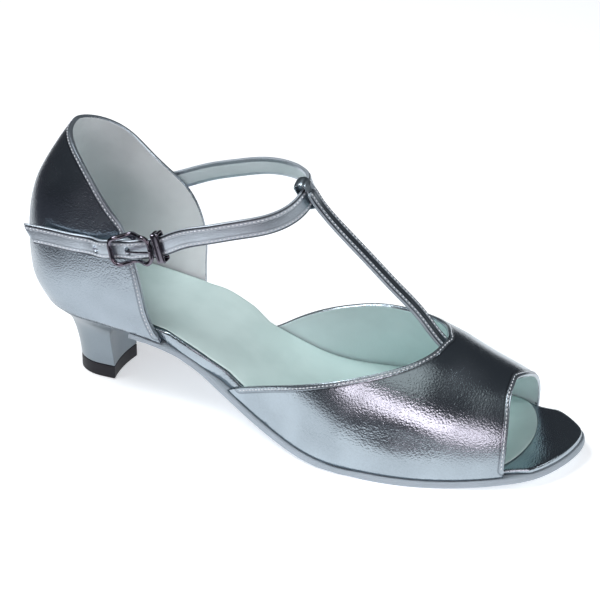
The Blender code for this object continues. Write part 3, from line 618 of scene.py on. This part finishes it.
# Counter: outer wall, lining, collar and front edge stitching
counterLook = {
    "wallAngle": math.radians(38),
    "round": 0.0005,
    "levels": 2,
    "inset": 0.0015,
    "folds": (
        {"start": (0.03, 0.30, 0.90), "end": (0.02, 0.22, 0.52), "bow": (-0.02, 0.0, 0.0),
         "push": (1.0, 0.6, 0.0), "depth": 0.0008, "width": 0.0070},
        {"start": (0.10, 0.12, 0.78), "end": (0.08, 0.10, 0.45), "push": (0.3, 1.0, 0.0),
         "depth": 0.0006, "width": 0.0080},
        {"start": (0.05, 0.80, 0.85), "end": (0.06, 0.84, 0.48), "push": (0.5, -1.0, 0.0),
         "depth": 0.0007, "width": 0.0080},
        {"start": (0.02, 0.40, 0.42), "end": (0.10, 0.14, 0.38), "bow": (-0.02, -0.03, 0.0),
         "push": (-1.0, -1.0, 0.0), "depth": 0.0004, "width": 0.0050},
    ),
}


def dressCounter():
    mesh = mergedCopy("counter")
    outer, inner = smoothRegions(mesh, counterLook["wallAngle"])[:2]
    middle = sum((face.calc_center_median() for face in outer), Vector()) / len(outer)
    if sum((face.calc_center_median() - middle).dot(face.normal) * face.calc_area() for face in outer) < 0:
        outer, inner = inner, outer
    for face in inner:
        face.material_index = 1
    collar = runOf(outlines(outer)[0], offSole)
    softenEdges(mesh, counterLook["round"], edgeOffSole)
    piece = settle("counterLeather", mesh, ("counterSilverShaded", "counterLining"), counterLook["levels"])
    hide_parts("counter")
    markEdges(piece, [collar])
    foldSkin(piece, counterLook["folds"])
    thread = bmesh.new()
    stitchRow(thread, piece, collar, counterLook["inset"])
    threadPiece("counterStitches", thread)


# Straps: two stitched edges on the outer face
strapLook = {
    "faceAngle": math.radians(40),
    "corner": math.radians(40),
    "ankleBack": 0.01,         # how far the ankle's middle lies behind the middle of the strap's box
    "levels": 2,
    "ankle_strap": {"name": "ankleStrapLeather", "finish": "strapSilverLit", "inset": 0.0010},
    "t_bar": {"name": "tBarLeather", "finish": "barSilver", "inset": 0.0012},
}


def sideRuns(rim, sharpest):
    # Long sides of a strap's face, split at its corners.
    count = len(rim)
    turns = []
    for i in range(count):
        before = (rim[i][0] - rim[i - 1][0]).normalized()
        after = (rim[(i + 1) % count][0] - rim[i][0]).normalized()
        turns.append(before.angle(after, 0.0) if before.length and after.length else 0.0)
    corners = [i for i in range(count) if turns[i] > sharpest]
    runs = []
    for k, first in enumerate(corners):
        last = corners[(k + 1) % len(corners)]
        span = (last - first) % count
        runs.append([rim[(first + j) % count] for j in range(span + 1)])
    runs.sort(key=lambda run: -sum((a[0] - b[0]).length for a, b in zip(run, run[1:])))
    return runs[:2]


def dressStrap(node, outward):
    look = strapLook[node]
    mesh = mergedCopy(node)
    regions = smoothRegions(mesh, strapLook["faceAngle"])[:2]
    front = max(regions, key=outward)
    for region in regions:
        if region is not front:
            for face in region:
                face.material_index = 1
    runs = sideRuns(outlines(front)[0], strapLook["corner"])
    piece = settle(look["name"], mesh, (look["finish"], "strapLining"), strapLook["levels"])
    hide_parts(node)
    markEdges(piece, runs)
    thread = bmesh.new()
    for run in runs:
        stitchRow(thread, piece, run, look["inset"])
    threadPiece(look["name"] + "Stitches", thread)


def facingOut(region):
    # How far a region of the ankle strap looks away from the ankle.
    low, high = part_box("ankle_strap")
    middle = Vector(((low.x + high.x) / 2 - strapLook["ankleBack"], (low.y + high.y) / 2, 0.0))
    total = 0.0
    for face in region:
        away = face.calc_center_median() - middle
        away.z = 0.0
        total += away.normalized().dot(face.normal) * face.calc_area()
    return total


def facingUp(region):
    return sum((face.normal.z + face.normal.x) * face.calc_area() for face in region)


# Pieces that keep the solid's own form
solidLook = {
    "outsole": {"name": "outsoleSuede", "finish": "suede", "slot": "sole_suede", "crisp": True},
    "insole": {"name": "insoleBoard", "finish": "boardSilver", "slot": "edge_leather", "crisp": True},
    "sock_lining": {"name": "sockLining", "finish": "sock", "slot": "sock_leather", "crisp": True},
    "heel": {
        "name": "heelCover", "finish": "heelSilverShaded", "slot": "silver_leather", "round": 0.0004,
        "lift": 0.0003,        # rise of the top, toward the leather above it
        "folds": (
            {"start": (0.215, 0.16, 0.235), "end": (0.195, 0.45, 0.225), "bow": (-0.01, 0.0, 0.03),
             "push": (1.0, 0.0, 0.2), "depth": 0.0005, "width": 0.0010},
            {"start": (0.212, 0.18, 0.205), "end": (0.185, 0.45, 0.195), "bow": (-0.01, 0.0, 0.03),
             "push": (-1.0, 0.0, -0.2), "depth": 0.0005, "width": 0.0011},
            {"start": (0.215, 0.84, 0.235), "end": (0.195, 0.55, 0.225), "bow": (-0.01, 0.0, 0.03),
             "push": (1.0, 0.0, 0.2), "depth": 0.0005, "width": 0.0010},
        ),
    },
    "heel_tip": {"name": "heelTip", "finish": "rubber", "slot": "tip_rubber", "round": 0.0003, "levels": 1},
    "buckle_frame": {"name": "buckleFrame", "finish": "chrome", "slot": "dark_chrome"},
    "buckle_prong": {"name": "bucklePin", "finish": "chrome", "slot": "dark_chrome", "levels": 1},
    "buckle_tab": {"name": "buckleTab", "finish": "strapSilverLit", "slot": "strap_leather", "levels": 1},
    "strap_keeper": {"name": "strapKeeper", "finish": "chrome", "slot": "dark_chrome"},
}


levelFace = 0.7                # least upward part of a top face's normal


def dressSolid(node, look):
    mesh = mergedCopy(node)
    top = set()
    if "lift" in look:
        top = {vert for face in mesh.faces if face.normal.z > levelFace for vert in face.verts}
        for vert in top:
            vert.co.z += look["lift"]
    if "round" in look:
        softenEdges(mesh, look["round"], lambda edge: not top.issuperset(edge.verts))
    elif "crisp" in look:
        softenEdges(mesh, 0.0, lambda edge: False)
    piece = settle(look["name"], mesh, (look["finish"],), look.get("levels", 2))
    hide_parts(node)
    foldSkin(piece, look.get("folds", ()))
    # No folded edge here, so every place reads one far distance.
    layer = piece.data.attributes.new("edgeDistance", "FLOAT", "POINT")
    layer.data.foreach_set("value", [edgeMark["none"]] * len(piece.data.vertices))


dressVamp()
print("vamp dressed")
dressCounter()
print("counter dressed")
dressStrap("ankle_strap", facingOut)
dressStrap("t_bar", facingUp)
print("straps dressed")
for node, look in solidLook.items():
    dressSolid(node, look)
print("solids dressed")


# Studio: pale paper that fades to grey outside the camera's sight, and wide soft lights
studio = {
    "floorHalf": 3.0,
    "target": (0.09, 0.0, 0.04),   # place that every lamp faces
    "pale": shade(0.90, 0.91, 0.92),
    "grey": shade(0.035, 0.035, 0.045),
    "glow": 0.54,
    "front": {"along": (-0.34, 0.94, 0.0), "pale": -0.168, "grey": -0.205},
    "heelSide": {"along": (0.88, 0.50, 0.0), "pale": -0.075, "grey": -0.20},
    "world": (0.052, 0.056, 0.064),
}
lights = {
    "front": {"place": (0.42, -1.23, 0.37), "size": (1.21, 0.34), "watts": 4.2, "colour": (1.0, 0.83, 0.88),
              "roll": -20.0},
    "above": {"place": (-0.47, -0.33, 1.17), "size": (0.6, 0.6), "watts": 12.5, "colour": (0.95, 0.98, 1.0)},
    "toe": {"place": (1.25, 0.05, 0.80), "size": (0.5, 0.5), "watts": 4.5, "colour": (0.97, 0.99, 1.0)},
    "ceiling": {"place": (-0.10, -0.90, 1.50), "size": (1.8, 1.3), "watts": 4.5, "colour": (0.97, 1.0, 0.96)},
}


def makeFloor():
    mesh = bmesh.new()
    bmesh.ops.create_grid(mesh, x_segments=1, y_segments=1, size=studio["floorHalf"])
    data = bpy.data.meshes.new("floor")
    mesh.to_mesh(data)
    mesh.free()
    paint = Paint("floorPaper", Roughness=0.9, Emission_Strength=studio["glow"])
    share = 1.0
    for fade in (studio["front"], studio["heelSide"]):
        sockets = {0: paint.place(), 1: fade["along"]}
        reach = paint.add("ShaderNodeVectorMath", {"operation": "DOT_PRODUCT"}, sockets, "Value")
        share = paint.ease(reach, fade["grey"], fade["pale"]) * share
    paper = paint.mix(share, studio["grey"], studio["pale"])
    paint.feed(Base_Color=paper, Emission_Color=paper)
    data.materials.append(paint.material)
    floor = bpy.data.objects.new("floor", data)
    bpy.context.collection.objects.link(floor)


def makeLights():
    target = Vector(studio["target"])
    for name, light in lights.items():
        lamp = bpy.data.lights.new(name, "AREA")
        lamp.shape = "RECTANGLE"
        lamp.size, lamp.size_y = light["size"]
        lamp.energy = light["watts"]
        lamp.color = light["colour"]
        holder = bpy.data.objects.new(name, lamp)
        holder.location = light["place"]
        aim = (target - holder.location).to_track_quat("-Z", "Y").to_matrix()
        roll = Matrix.Rotation(math.radians(light.get("roll", 0.0)), 3, "Z")
        holder.rotation_euler = (aim @ roll).to_euler()
        bpy.context.collection.objects.link(holder)
    world = bpy.data.worlds.new("studio")
    world.use_nodes = True
    world.node_tree.nodes["Background"].inputs["Color"].default_value = (*studio["world"], 1.0)
    bpy.context.scene.world = world
    bpy.context.scene.view_settings.view_transform = "Standard"


# Camera at the photograph's angle
view = {
    "azimuth": 19.854,
    "elevation": 28.458,
    "roll": 1.677,
    "distance": 0.699085,
    "lens": 102.365,
    "aim": (0.0921, 0.0, 0.045),
    "shift": (-0.00758, 0.02067),
    "sensor": 36.0,
    "near": 0.05,
}


def makeCamera():
    a, e, r = (math.radians(view[key]) for key in ("azimuth", "elevation", "roll"))
    back = Vector((math.sin(a) * math.cos(e), -math.cos(a) * math.cos(e), math.sin(e)))
    level = Vector((math.cos(a), math.sin(a), 0.0))
    rise = back.cross(level)
    right = level * math.cos(r) + rise * math.sin(r)
    up = rise * math.cos(r) - level * math.sin(r)
    camera = bpy.data.objects.new("camera", bpy.data.cameras.new("camera"))
    camera.data.lens = view["lens"]
    camera.data.sensor_width = view["sensor"]
    camera.data.shift_x, camera.data.shift_y = view["shift"]
    camera.data.clip_start = view["near"]
    turn = Matrix((right, up, back)).transposed().to_4x4()
    camera.matrix_world = Matrix.Translation(Vector(view["aim"]) + back * view["distance"]) @ turn
    bpy.context.collection.objects.link(camera)
    bpy.context.scene.camera = camera


makeFloor()
makeLights()
makeCamera()
print("studio ready")
